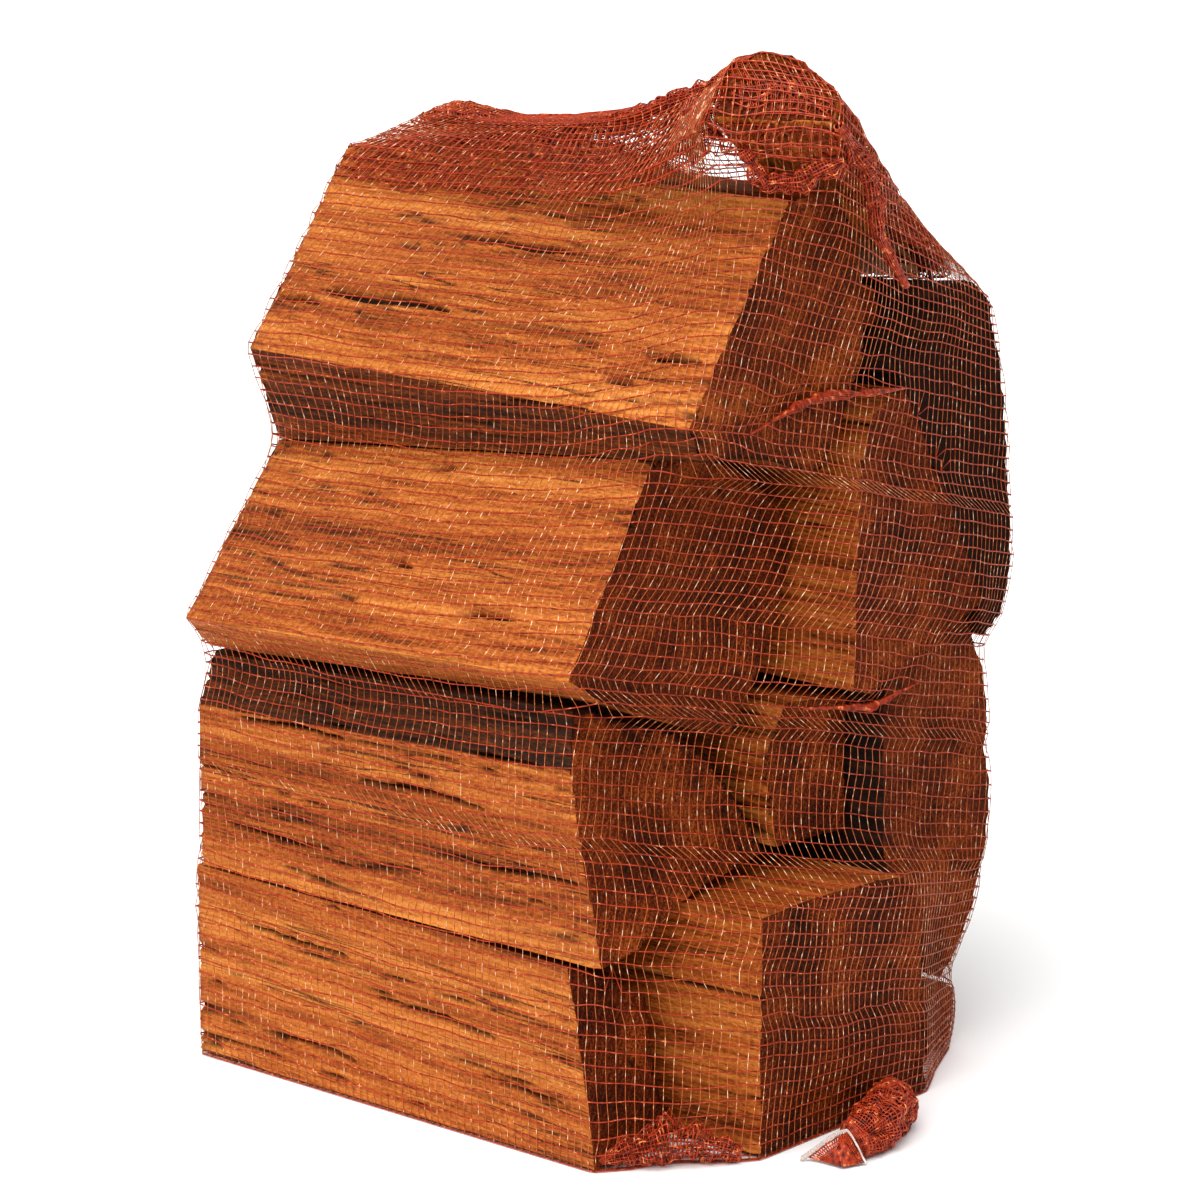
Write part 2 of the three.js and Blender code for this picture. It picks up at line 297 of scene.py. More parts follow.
SPLIT = split_wood(
    "hardwood_split_along_the_grain", "#27170b", "#64300e", "#a85a22", "#d88e44"
)
# The sawn ends' colours are dark partly by their own end grain and partly as painted shade.
SAWN = sawn_end("hardwood_sawn_end_grain", "#260d03", "#66290b", "#a2561f")
BARK = rough_bark("hardwood_bark")


# %% [markdown]
# ## The logs
#
# A log's blank keeps only the two sawn ends of its frame solid and bridges them, which
# gives one clean strip of quads for each side. The strips are then cut into slices along
# the log and into narrow lanes across it, and noise drawn out along the grain lifts and
# tears the surface. Geometry carries plates, ledges and cracks, and the material carries
# the fibres that are finer than the lanes.

# %% Log blank
SLICE = 4 * MM  # from one slice to the next along the grain
LANE = 1.5 * MM  # from one lane to the next across it
END_CELL = 4 * MM  # the grid on a sawn end


def node_middle(node):
    low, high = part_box(node.name)
    return (low + high) / 2


def long_axis(bm):
    """Roughly the direction of a log, from the spread of its corners."""
    points = np.array([vert.co for vert in bm.verts])
    along = Vector(np.linalg.svd(points - points.mean(axis=0))[2][0])
    return along if along.x > 0 else -along


def grain_axis(edges, rough):
    """The direction of the grain: the mean of the edges that run from end to end."""
    along = Vector()
    for edge in edges:
        step = edge.verts[1].co - edge.verts[0].co
        along += step if step.dot(rough) > 0 else -step
    return along.normalized()


def strip_from(edge):
    """The edges that lie side by side along one strip of quads, starting at a rim edge."""
    strip = [edge]
    face = next(f for f in edge.link_faces if len(f.verts) == 4 and f.tag)
    while face:
        edge = next(e for e in face.edges if not set(e.verts) & set(edge.verts))
        strip.append(edge)
        face = next((f for f in edge.link_faces if f is not face and f.tag), None)
    return strip


def tag_sides(bm):
    for face in bm.faces:
        face.tag = face.material_index == 0


def cut_lanes(bm, middle, along):
    """Cuts every side of a log into lanes that run along it."""
    tag_sides(bm)
    rim = [edge for edge in bm.edges
           if len({face.material_index for face in edge.link_faces}) == 2
           and (edge.verts[0].co - middle).dot(along) < 0]
    for edge in rim:
        strip = strip_from(edge)
        lanes = max(round(max(e.calc_length() for e in strip) / LANE), 1)
        bmesh.ops.subdivide_edges(bm, edges=strip, cuts=lanes - 1, use_grid_fill=True)
        tag_sides(bm)


def log_blank(node):
    """A log as a bmesh, its sides cut into slices and lanes. Ends have material 1."""
    bm = bmesh.new()
    bm.from_mesh(node.data)
    bmesh.ops.remove_doubles(bm, verts=bm.verts, dist=0.01 * MM)
    bmesh.ops.dissolve_limit(bm, angle_limit=math.radians(0.5), verts=[], edges=bm.edges)
    rough = long_axis(bm)
    sides = [face for face in bm.faces if abs(face.normal.dot(rough)) < 0.8]
    bmesh.ops.delete(bm, geom=sides, context="FACES_KEEP_BOUNDARY")
    for face in bm.faces:
        face.material_index = 1
    rims = list(bm.edges)
    bridge = bmesh.ops.bridge_loops(bm, edges=rims)
    for face in bridge["faces"]:
        face.material_index = 0
    lengthwise = [edge for edge in bridge["edges"] if edge not in rims]
    along = grain_axis(lengthwise, rough)
    slices = round(lengthwise[0].calc_length() / SLICE)
    bmesh.ops.subdivide_edges(bm, edges=lengthwise, cuts=slices, use_grid_fill=True)
    cut_lanes(bm, node_middle(node), along)
    return bm, along


def grid_ends(bm, along):
    """Cuts the sawn ends into a grid, so that they can be cracked and dished."""
    side = along.cross(Vector((0, 0, 1))).normalized()
    up = side.cross(along)
    for direction in (side, up):
        places = [vert.co.dot(direction) for vert in bm.verts]
        place = min(places) + END_CELL
        while place < max(places) - 0.5 * END_CELL:
            parts = set()
            for face in bm.faces:
                if face.material_index == 1:
                    parts.update([face, *face.edges, *face.verts])
            bmesh.ops.bisect_plane(bm, geom=list(parts), dist=0.01 * MM,
                                   plane_co=direction * place, plane_no=direction)
            place += END_CELL


# %% [markdown]
# ## Torn faces
#
# The relief of a split face is made of three things. Broad waves follow the way the log
# grew. Plates are long narrow cells, each lifted by its own amount, and their borders are
# the ledges that an axe leaves. Cracks are thin lines along the grain, cut deeper than
# the plates. Nearly all of it goes inwards, so the log stays inside its frame solid.
# A few long drying shakes are listed for the front logs.
#
# Wood also differs from log to log. Some logs are darker as a whole, and the end of the
# back middle log is painted much darker still, as painted shade. A side that lay open to
# the weather has turned grey-brown, as the top of the low front log has, while the
# underside of the top log is painted darker as painted shade. A pale band runs along a face
# now and then: pale wood near the top of the low log, and a painted highlight along the
# ridge of the top log. Each of these is a change of tint, kept in a table by the log's name.

# %% Relief
WAVE = 1.3 * MM
PLATE = 1.6 * MM
CRACK = 3.2 * MM
SHAKE = 4.5 * MM

# from and to along the log, height over its middle, and width, in millimetres
SHAKES = {
    "log_front_top": [(-110, -27, 12, 3.2), (-134, -104, 8, 1.8), (78, 96, -10, 1.6),
                      (94, 126, 2, 2.0), (-40, 30, 40, 1.6), (20, 84, -24, 1.6)],
    "log_front_high": [(-14, 4, 8, 1.4), (40, 76, -7, 1.6), (-10, 6, 49, 1.6)],
    "log_front_low": [(-96, -30, 22, 1.8), (-20, 56, 5, 2.0), (44, 96, 30, 2.2),
                      (-110, -44, -34, 1.8), (30, 118, -22, 2.0)],
    "log_front_bottom": [(-104, -30, 20, 1.8), (-8, 66, 4, 2.0), (58, 112, -18, 1.8),
                         (-92, -22, -30, 1.6)],
}
LOG_TINTS_AND_SHADE = {  # the whole log, against its kind of wood; for the back middle log it is painted shade
    "log_front_top": -0.012,
    "log_front_high": -0.012,
    "log_front_low": -0.006,
    "log_front_bottom": -0.01,
    "log_end_middle": -0.02,
    "log_end_bottom": -0.03,
    # painted shade: the back middle log lies in the shade of the logs beside it, so its sawn end
    # is painted much darker
    "log_back_middle": -0.2,
}
# a side that faces up (1) or down (-1), and its tint: the low log's weathered top, and painted
# shade on the underside of the top log
WEATHERED_TOPS_AND_SHADED_UNDERSIDES = {"log_front_low": (1, -0.19), "log_front_top": (-1, -0.13)}
FACES_THAT_WAY = 0.26  # the least rise or fall of a face that counts as up or down
# how torn the split faces are, where it isn't 1
TORN = {"log_front_top": 1.5, "log_front_high": 0.45, "log_front_low": 1.35}
# a lighter band: height over the log's middle and width in millimetres, and its tint; pale wood on
# the low log, a painted highlight along the ridge of the top log
PALE_WOOD_AND_HIGHLIGHT = {"log_front_top": (-17, 9, 0.075), "log_front_low": (40, 10, 0.03)}


def shake_at(name, place, facing):
    """How deep a point lies in a shake placed by hand, from 0 to 1."""
    if facing.y > -0.3:
        return 0.0
    deepest = 0.0
    for start, stop, height, width in SHAKES.get(name, ()):
        along = (place.x / MM - start) / (stop - start)
        if 0 < along < 1:
            wander = noise.noise(Vector((place.x * 24, height, 0))) * 2.4
            wander += noise.noise(Vector((place.x * 160, height, 0))) * 0.7
            taper = math.sin(math.pi * along) ** 0.5
            off = abs(place.z / MM - height - wander)
            depth = 1.6 * (1 - off / (0.8 * width * taper + 0.01))
            deepest = max(deepest, min(1.0, max(0.0, depth)))
    return deepest


def split_relief(place, seed, torn):
    """How far a split face lies below its blank, and how much it is cracked, 0 to 1."""
    shift = Vector((seed * 3.1, seed * 1.7, seed * 2.3))
    wave = noise.noise(Vector((place.x * 3.5, place.y * 30, place.z * 30)) + shift)
    warp = noise.noise(Vector((place.x * 12, place.y * 30, place.z * 30)) + shift) * 0.5
    cell = Vector((place.x * 8, place.y * 90 + warp, place.z * 90 + warp)) + shift
    plate = noise.cell(cell + Vector((noise.noise(cell) * 0.8, 0, 0)))
    ledge = noise.cell(Vector((place.x * 5, place.z * 32 + 2 * warp, seed)))
    line = noise.noise(Vector((place.x * 6, place.y * 110 + warp, place.z * 110)) + shift * 2)
    gate = noise.noise(Vector((place.x * 9, place.y * 40, place.z * 40)) - shift)
    open_at = 0.16 - 0.14 * torn
    crack = max(0.0, 1 - abs(line) / 0.06) * max(0.0, min(1.0, (gate - open_at) * 6))
    tear = PLATE * torn * (0.3 * plate + 0.35 * ledge + 0.2)
    return WAVE * (0.5 + wave) + tear + CRACK * crack, crack


def bark_relief(place, seed):
    """Bark is furrowed: ridges that run along the log, broken across now and then."""
    shift = Vector((seed * 2.9, seed * 1.3, seed * 3.7))
    furrow = noise.noise(Vector((place.x * 22, place.y * 95, place.z * 95)) + shift)
    fine = noise.noise(Vector((place.x * 110, place.y * 260, place.z * 260)) + shift)
    return 2.2 * MM * (0.5 + furrow) + 0.7 * MM * fine, 0.0


def end_relief(place, seed, reach):
    """Drying checks on a sawn end: thin cracks that run out from the heart of the tree."""
    heart = Vector((0, -0.6 * reach, -0.5 * reach))
    ray = place - heart
    angle = math.atan2(ray.z, ray.y)
    line = noise.noise(Vector((angle * 9 + seed, ray.yz.length * 6, seed)))
    gate = noise.noise(Vector((seed, angle * 5, ray.yz.length * 22)))
    crack = max(0.0, 1 - abs(line) / 0.07) * max(0.0, min(1.0, (gate - 0.05) * 5))
    return 0.3 * MM + 1.6 * MM * crack, crack


# %% Carve and place the logs
def relief_at(name, vert, place, seed, reach):
    """The depth and the crack of one point of a log, by what kind of surface it is on."""
    if all(face.material_index == 1 for face in vert.link_faces):
        return end_relief(place, seed, reach)
    if slots[name] == "bark_wood":
        return bark_relief(place, seed)
    depth, crack = split_relief(place, seed, TORN.get(name, 1.0))
    shake = shake_at(name, place, vert.normal)
    hidden = 0.4 if abs(vert.normal.z) > 0.6 else 1.0  # where logs lie on each other
    return hidden * depth + SHAKE * shake, max(crack, shake)


def tint_at(name, place, facing):
    """How much lighter or darker the wood is here than its kind: its tone and weathering, and
    painted shade and a painted highlight.
    """
    # Painted shade on the downward side of the top log; real weathering on the upward side of the
    # low log.
    way, weathered_and_shaded = WEATHERED_TOPS_AND_SHADED_UNDERSIDES.get(name, (0, 0))
    if facing.z * way > FACES_THAT_WAY:
        return weathered_and_shaded
    # A lighter band: pale wood on the low log, a painted highlight along the ridge of the top log.
    height, width, extra = PALE_WOOD_AND_HIGHLIGHT.get(name, (0, 1, 0))
    off = (place.z / MM - height + 4 * noise.noise(Vector((place.x * 14, 0, height)))) / width
    return LOG_TINTS_AND_SHADE.get(name, 0.0) + extra * math.exp(-off * off)


def carve(name, node, seed):
    """Makes the finished log that stands for one frame solid."""
    bm, along = log_blank(node)
    grid_ends(bm, along)
    bm.normal_update()
    side = along.cross(Vector((0, 0, 1))).normalized()
    turn = Matrix((along, side, side.cross(along)))
    middle = node_middle(node)
    low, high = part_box(name)
    grain = bm.verts.layers.float_vector.new("grain")
    cracked = bm.verts.layers.float.new("crack")
    tint = bm.verts.layers.float.new("tint")
    moves = []
    for vert in bm.verts:
        place = turn @ (vert.co - middle)
        depth, crack = relief_at(name, vert, place, seed, (high - low).yz.length / 2)
        vert[grain] = place + Vector((seed * 0.37, seed * 0.21, seed * 0.13))
        vert[cracked] = crack
        vert[tint] = tint_at(name, place, vert.normal)
        on_end = [face.material_index == 1 for face in vert.link_faces]
        inward = -vert.normal
        if any(on_end) and not all(on_end):
            inward = (inward - along * inward.dot(along)).normalized()
        moves.append(inward * depth)
    for vert, move in zip(bm.verts, moves):
        vert.co += move
    mesh = bpy.data.meshes.new(name.replace("log_", "wood_"))
    bm.to_mesh(mesh)
    bm.free()
    mesh.materials.append(BARK if slots[name] == "bark_wood" else SPLIT)
    mesh.materials.append(SAWN)
    mesh.polygons.foreach_set("use_smooth", [True] * len(mesh.polygons))
    mesh.set_sharp_from_angle(angle=math.radians(38))
    piece = bpy.data.objects.new(mesh.name, mesh)
    scene.collection.objects.link(piece)
    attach(piece, "root")
    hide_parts(name)
    return piece


for seed, name in enumerate(log_names, start=1):
    log = carve(name, frame["nodes"][name], seed)
    print(log.name, len(log.data.polygons), "faces")

# %% [markdown]
# ## The taut net, as a surface
#
# The bag is a knitted tube. Its wefts are closed loops under tension, so each one lies on
# the pile as a rubber band would: along the shortest way round whatever it crosses.
# A weft is therefore found by cutting the pile with a plane and taking the convex outline
# of the cut. The planes are level at the floor. Higher up they lean towards the mouth at
# the back of the top, until the last one stands square to it.
#
# Where a plane runs through the gap between two layers of logs, its outline closes round
# fewer logs than its neighbours do. A taut net can't slip in there, because the loops
# next to it hold it out, so such a loop is left out, and the net spans the gap.

# %% Planes of the wefts
PLAY = 1.3 * MM  # from the wood to the middle of the netting
STEP = 3 * MM  # height from one cut to the next
WARPS = 228
SPAN_ABOVE = 0.345  # over this height the net runs straight from log to log
CLOSING_GIRTH = 0.30  # the loops end here, and the gathers of the mouth begin
SLIPPED = 0.95  # a loop this much shorter than the one above it has slipped into a gap
MOUTH = Vector((-0.0286, 0.1200, 0.3990))
MOUTH_AXIS = Vector((0, 0.72, 0.69)).normalized()

# height of the plane over the middle of the base, its rise to +X, and its rise to +Y
LEANS = np.array([
    [0.000, 0.000, 0.00],
    [0.030, 0.000, -0.12],
    [0.070, 0.010, -0.21],
    [0.130, 0.030, -0.25],
    [0.240, 0.075, -0.25],
    [0.360, 0.120, -0.27],
    [0.430, 0.120, -0.42],
    [0.536, 0.000, -1.04],
])


def lean(height):
    """The rise of the weft plane at that height, towards +X and towards +Y."""
    return [float(np.interp(height, LEANS[:, 0], LEANS[:, i])) for i in (1, 2)]


def pile():
    """Every log of the frame in one bmesh, its doubles merged."""
    bm = bmesh.new()
    for name in log_names:
        bm.from_mesh(frame["nodes"][name].data)
    bmesh.ops.remove_doubles(bm, verts=bm.verts, dist=0.01 * MM)
    return bm


def net_supports():
    """Both ends of every edge of the logs, and of the hull that spans their tops."""
    bm = pile()
    tops = [vert for vert in bm.verts if vert.co.z > SPAN_ABOVE]
    copy = bmesh.ops.duplicate(bm, geom=tops)["geom"]
    bmesh.ops.convex_hull(bm, input=[v for v in copy if isinstance(v, bmesh.types.BMVert)])
    ends = np.array([[end.co for end in edge.verts] for edge in bm.edges])
    bm.free()
    return ends[:, 0], ends[:, 1]


def crossing(loop, run, side):
    """How far round a loop its middle is crossed, on the +Y side or on the -Y side."""
    middle = (loop.min(axis=0) + loop.max(axis=0)) / 2
    for i, (a, b) in enumerate(zip(loop[:-1], loop[1:])):
        if (a[0] - middle[0]) * (b[0] - middle[0]) <= 0 and a[0] != b[0]:
            share = (middle[0] - a[0]) / (b[0] - a[0])
            if (a[1] + share * (b[1] - a[1]) - middle[1]) * side > 0:
                return run[i] + share * (run[i + 1] - run[i])
    raise ValueError("the loop doesn't go round its own middle")


def weft_loop(height):
    """The taut loop at one height, as points spaced evenly round it, in metres."""
    across, deep = lean(height)
    above = [ends[:, 2] - across * ends[:, 0] - deep * ends[:, 1] - height
             for ends in (SPAN_FROM, SPAN_TO)]
    cut = above[0] * above[1] < 0
    share = (above[0] / (above[0] - above[1] + 1e-12))[cut, None]
    points = SPAN_FROM[cut] + (SPAN_TO[cut] - SPAN_FROM[cut]) * share
    if len(points) < 3:
        return None
    rim = [Vector(point[:2]) + Vector((math.cos(turn), math.sin(turn))) * PLAY
           for point in points for turn in np.arange(12) * math.tau / 12]
    loop = np.array([rim[i] for i in convex_hull_2d(rim)])
    following = np.roll(loop, -1, axis=0)
    if (loop[:, 0] * following[:, 1] - loop[:, 1] * following[:, 0]).sum() < 0:
        loop = loop[::-1]
    loop = np.vstack([loop, loop[:1]])
    run = np.concatenate([[0], np.cumsum(np.linalg.norm(np.diff(loop, axis=0), axis=1))])
    if run[-1] < CLOSING_GIRTH:
        return None
    behind, before = crossing(loop, run, 1), crossing(loop, run, -1)
    half = np.arange(WARPS // 2) / (WARPS // 2)
    left = behind + half * ((before - behind) % run[-1])
    right = before + half * ((behind - before) % run[-1])
    even = np.concatenate([left, right]) % run[-1]
    flat = np.stack([np.interp(even, run, loop[:, i]) for i in (0, 1)], axis=1)
    up = height + across * flat[:, 0] + deep * flat[:, 1]
    return np.column_stack([flat, up])


SPAN_FROM, SPAN_TO = net_supports()
loops = [weft_loop(height) for height in np.arange(1.5 * MM, LEANS[-1][0], STEP)]
skin = np.array([loop for loop in loops if loop is not None])
girths = np.linalg.norm(np.roll(skin, -1, axis=1) - skin, axis=2).sum(axis=1)
held_out = girths >= SLIPPED * np.append(girths[1:], 0)
skin, girths = skin[held_out], girths[held_out]
print(len(SPAN_FROM), "edges carry the net; girths", [round(float(g), 2) for g in girths[::16]])


# %% [markdown]
# ## From a smooth surface to knitted rows
#
# The warps are in tension too, so they lift the net a little off the narrow hollows.
# Then rows of weft are laid on the surface at an even distance along it, and warps across
# them. A real bag is never pulled evenly: the wefts sag into a smile across the long
# front faces, the warps lean with the pull of the mouth, and every row wanders.

# %% Rows and columns on the surface
PITCH = 6.2 * MM  # from one weft to the next
OVER_A_NOTCH = 1.2 * STEP  # a notch in the pile takes no more rows than a flat face
SMILES = ([0.0, 0.05, 0.13, 0.26, 0.36, 0.50], [0, 1, 4, 6, 12, 12])  # height, sag in mm
SHEARS = ([0.0, 0.18, 0.28, 0.36, 0.46], [0, -1.0, -2.0, 4.0, 12.0])  # height, columns
FRONT_FROM, FRONT_TO = -0.166, 0.086  # the long front faces, from left to right


def outward(rings):
    """Unit vectors that point out of the net, level with the wefts."""
    along = np.roll(rings, -1, axis=1) - np.roll(rings, 1, axis=1)
    out = np.stack([along[..., 1], -along[..., 0], np.zeros(along.shape[:2])], axis=2)
    return out / (np.linalg.norm(out, axis=2, keepdims=True) + 1e-9)


def bridge_hollows(rings, rounds, pull):
    """Lifts the net off the narrow hollows, and never pulls it inwards."""
    for _ in range(rounds):
        out = outward(rings)
        between = (rings[:-2] + rings[2:]) / 2 - rings[1:-1]
        lift = (between * out[1:-1]).sum(axis=2, keepdims=True).clip(min=0)
        rings[1:-1] += pull * lift * out[1:-1]
    return rings


def skin_at(row, column):
    """Points of the taut surface, between its rings and columns."""
    row = np.clip(row, 0, len(skin) - 1.001)
    r0, c0 = np.floor(row).astype(int), np.floor(column).astype(int)
    fr, fc = (row - r0)[..., None], (column - c0)[..., None]
    a, b = skin[r0, c0 % WARPS], skin[r0, (c0 + 1) % WARPS]
    c, d = skin[r0 + 1, c0 % WARPS], skin[r0 + 1, (c0 + 1) % WARPS]
    return (a * (1 - fc) + b * fc) * (1 - fr) + (c * (1 - fc) + d * fc) * fr


def wander(points, scale, amount, seed):
    """Smooth irregularity of a grid of points: one value for each point, either way."""
    values = [noise.noise(Vector(point) * scale + Vector((seed, seed, seed)))
              for point in points.reshape(-1, 3)]
    return np.array(values).reshape(points.shape[:2]) * amount


skin = bridge_hollows(skin, 24, 0.5)
front_half = skin[:, WARPS // 4:3 * WARPS // 4]
gaps = np.linalg.norm(np.diff(front_half, axis=0), axis=2).mean(axis=1)
upper = skin.mean(axis=1)[1:, 2] > SPAN_ABOVE + 0.05
gaps = np.where(upper, gaps, np.minimum(gaps, OVER_A_NOTCH))
climb = np.concatenate([[0], np.cumsum(gaps)])
rows = np.interp(np.arange(2 * MM, climb[-1], PITCH), climb, np.arange(len(skin)))
row_grid, column_grid = np.meshgrid(rows, np.arange(WARPS, dtype=float), indexing="ij")
first = skin_at(row_grid, column_grid)
facing = np.clip(-outward(first)[..., 1] * 1.6, 0, 1)
share = np.clip((first[..., 0] - FRONT_FROM) / (FRONT_TO - FRONT_FROM), 0, 1)
sag = np.interp(first[..., 2], *SMILES) * MM * np.sin(math.pi * share ** 1.25) ** 0.8
shear = np.interp(first[..., 2], *SHEARS) * np.sin(math.pi * share)
uneven = wander(first, 22, 1.8 * MM, 3) + wander(first, 70, 0.9 * MM, 5)
row_grid += (uneven - facing * sag) / STEP
column_grid += facing * shear + wander(first, 30, 0.9, 8)
net = skin_at(row_grid, column_grid)
print(len(rows), "wefts and", WARPS, "warps, climbing", round(float(climb[-1]), 3), "m")

# %% [markdown]
# ## Slack, tucks and the wood
#
# Over the wide gaps of the top the net hangs down between the logs. Where it was pulled
# up or caught on a splinter, its rows are drawn together into a tuck, a dense bright fold.
# After both, every point that has come too near the wood is pushed out of it again.

# %% Distance to the wood
solid = pile()
wood = BVHTree.FromBMesh(solid)
solid.free()


def off_the_wood(points, clearance):
    """Moves points that are inside the wood, or too near it, out to the clearance."""
    moved = points.reshape(-1, 3).copy()
    for i, point in enumerate(moved):
        place, normal, _, distance = wood.find_nearest(Vector(point), 0.02)
        if place is None:
            continue
        inside = (Vector(point) - place).dot(normal) < 0
        if inside or distance < clearance:
            out = normal if inside or distance < 1e-6 else (Vector(point) - place) / distance
            moved[i] = place + out * clearance
    return moved.reshape(points.shape)


def smoothed(field, rounds):
    """A field on the grid, averaged with its neighbours; its first and last rows stay."""
    for _ in range(rounds):
        sides = (np.roll(field, 1, axis=1) + np.roll(field, -1, axis=1)) / 2
        field[1:-1] = (field[:-2] + field[2:] + 2 * sides[1:-1]) / 4
    return field


def slack(points, share, play, most):
    """How far each point hangs down towards the wood under it: a share of its distance."""
    drop = np.zeros_like(points)
    for index in np.ndindex(points.shape[:2]):
        point = Vector(points[index])
        place, _, _, distance = wood.find_nearest(point)
        if distance > play:
            pull = min(share * (distance - play), most) / distance
            drop[index] = (place - point) * pull
    return smoothed(drop, 14)


height_share = np.clip((net[..., 2:] - 0.36) / 0.06, 0, 1)
net += slack(net, 0.5, 3 * MM, 17 * MM) * (0.15 + 0.85 * height_share)

# %% Tucks
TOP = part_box("log_top_cross")
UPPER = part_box("log_front_top")
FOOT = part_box("log_front_bottom")
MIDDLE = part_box("log_end_middle")

# Each tuck is a line of points, how far it reaches, and how strongly it draws the net in.
TUCKS = {
    "under the end of the askew log": ([
        (TOP[1].x - 0.038, TOP[0].y + 0.003, UPPER[1].z + 0.027),
        (TOP[1].x - 0.007, TOP[0].y + 0.010, UPPER[1].z + 0.015),
        (TOP[1].x + 0.010, TOP[0].y + 0.022, UPPER[1].z + 0.016),
        (TOP[1].x + 0.012, TOP[0].y + 0.034, UPPER[1].z + 0.027),
    ], 0.020, 0.62),
    "down from the top log to the middle": ([
        (UPPER[1].x + 0.002, UPPER[0].y + 0.001, UPPER[0].z + 0.050),
        (UPPER[1].x + 0.002, UPPER[0].y + 0.035, UPPER[0].z + 0.045),
        (UPPER[1].x + 0.002, UPPER[0].y + 0.078, UPPER[0].z + 0.059),
        (UPPER[1].x + 0.002, UPPER[0].y + 0.125, UPPER[0].z + 0.059),
    ], 0.014, 0.55),
    "under the middle log": ([
        (MIDDLE[1].x, MIDDLE[0].y + 0.020, MIDDLE[0].z + 0.002),
        (MIDDLE[1].x + 0.001, MIDDLE[0].y + 0.060, MIDDLE[0].z + 0.014),
    ], 0.012, 0.5),
    "at the foot of the front": ([
        (FOOT[1].x + 0.006, FOOT[0].y + 0.036, 0.004),
        (FOOT[1].x + 0.010, FOOT[0].y + 0.044, 0.016),
    ], 0.024, 0.5),
}


def tuck(points, line, reach, pull):
    """Draws the points near a line of places in towards it, the nearest ones most."""
    flat = points.reshape(-1, 3)
    best = np.full(len(flat), np.inf)
    move = np.zeros_like(flat)
    for start, stop in zip(line[:-1], line[1:]):
        start, span = np.array(start), np.array(stop) - np.array(start)
        share = np.clip((flat - start) @ span / (span @ span), 0, 1)
        towards = start + share[:, None] * span - flat
        distance = np.linalg.norm(towards, axis=1)
        nearer = distance < best
        best[nearer] = distance[nearer]
        move[nearer] = towards[nearer]
    fade = np.clip(1 - (best / reach) ** 2, 0, 1)[:, None] ** 1.5
    return (flat + move * fade * pull).reshape(points.shape)


for place, (line, reach, pull) in TUCKS.items():
    before = net
    net = tuck(net, line, reach, pull)
    print("tuck", place, int((np.abs(net - before).max(axis=2) > 0.5 * MM).sum()), "points")
net = off_the_wood(net, 1.1 * MM)

# %% [markdown]
# ## The foot and the mouth
#
# Under the logs the tube is sewn shut in one straight seam, so its last rows run in
# under the pile until front and back meet. At the mouth the whole tube is squeezed into
# a neck as thick as a thumb, and the hem beyond it springs open again in pleats.

# %% Foot
FOOT_SHARES = [0.04, 0.3, 0.5, 0.68, 0.82, 0.92, 0.975, 0.995]
SEAM_LENGTH = 0.55  # of the base's own length


def foot_rows(lowest):
    """Rows from the seam under the pile out to the lowest row of the net."""
    middle = lowest.mean(axis=0)
    seam = np.stack([
        middle[0] + (lowest[:, 0] - middle[0]) * SEAM_LENGTH,
        np.full(len(lowest), middle[1]),
        np.full(len(lowest), 0.5 * MM),
    ], axis=1)
    flat = lowest * (1, 1, 0) + (0, 0, 0.5 * MM)
    return np.array([seam * (1 - share) + flat * share for share in FOOT_SHARES])


# %% Mouth
NECK = [(-8, 13, 0.0), (-2, 8, 0.2), (4, 5.2, 0.6), (9, 4.6, 0.8), (13, 4.8, 0.8),
        (18, 6.6, 1.4), (23, 9.0, 2.2), (27, 10.6, 2.8), (30, 11.4, 3.0)]  # along, radius, pleat
PLEATS = 11


def neck_rows(last):
    """Rows that close over the last loop, run up the neck and open out in pleats."""
    turn = math.pi / 2 + np.arange(WARPS) * math.tau / WARPS
    sideways = Vector((1, 0, 0))
    upward = MOUTH_AXIS.cross(sideways)
    made = []
    for along, radius, pleat in NECK:
        wide = (radius + pleat * np.sin(PLEATS * turn + along * 0.05)) * MM
        centre = np.array(MOUTH + MOUTH_AXIS * along * MM)
        ring = centre + np.outer(np.cos(turn) * wide, sideways)
        made.append(ring + np.outer(np.sin(turn) * wide, upward))
    steps = np.linspace(0, 1, 9)[1:-1, None, None]
    closing = last * (1 - steps) + made[0] * steps
    return np.concatenate([off_the_wood(closing, 1.3 * MM), made])


taut = net
net = np.concatenate([foot_rows(net[0]), net, neck_rows(net[-1])])
print("the net has", net.shape[0], "rows with its foot and its mouth")


# %% [markdown]
# ## Threads
#
# The surface becomes a grid of quads, whose edges are flagged as weft or warp. A small
# Geometry Nodes group turns the edges of one kind into curves and the curves into thin
# tubes, and the result is kept as a plain mesh.

# %% Grids and threads
def net_grid(points, name, closed):
    """A grid of quads: rows run along the wefts. A closed one is joined into a tube."""
    rows, columns = points.shape[:2]
    across = columns if closed else columns - 1
    bm = bmesh.new()
    bmesh.ops.create_grid(bm, x_segments=across, y_segments=rows - 1, size=0.5)
    flag = bm.edges.layers.int.new("weft_edge")
    cells = {vert: (round((vert.co.y + 0.5) * (rows - 1)), round((vert.co.x + 0.5) * across))
             for vert in bm.verts}
    for edge in bm.edges:
        edge[flag] = int(cells[edge.verts[0]][0] == cells[edge.verts[1]][0])
    for vert, (row, column) in cells.items():
        vert.co = points[row, column % columns]
    bmesh.ops.remove_doubles(bm, verts=bm.verts, dist=0.001 * MM)
    mesh = bpy.data.meshes.new(name)
    bm.to_mesh(mesh)
    bm.free()
    return mesh


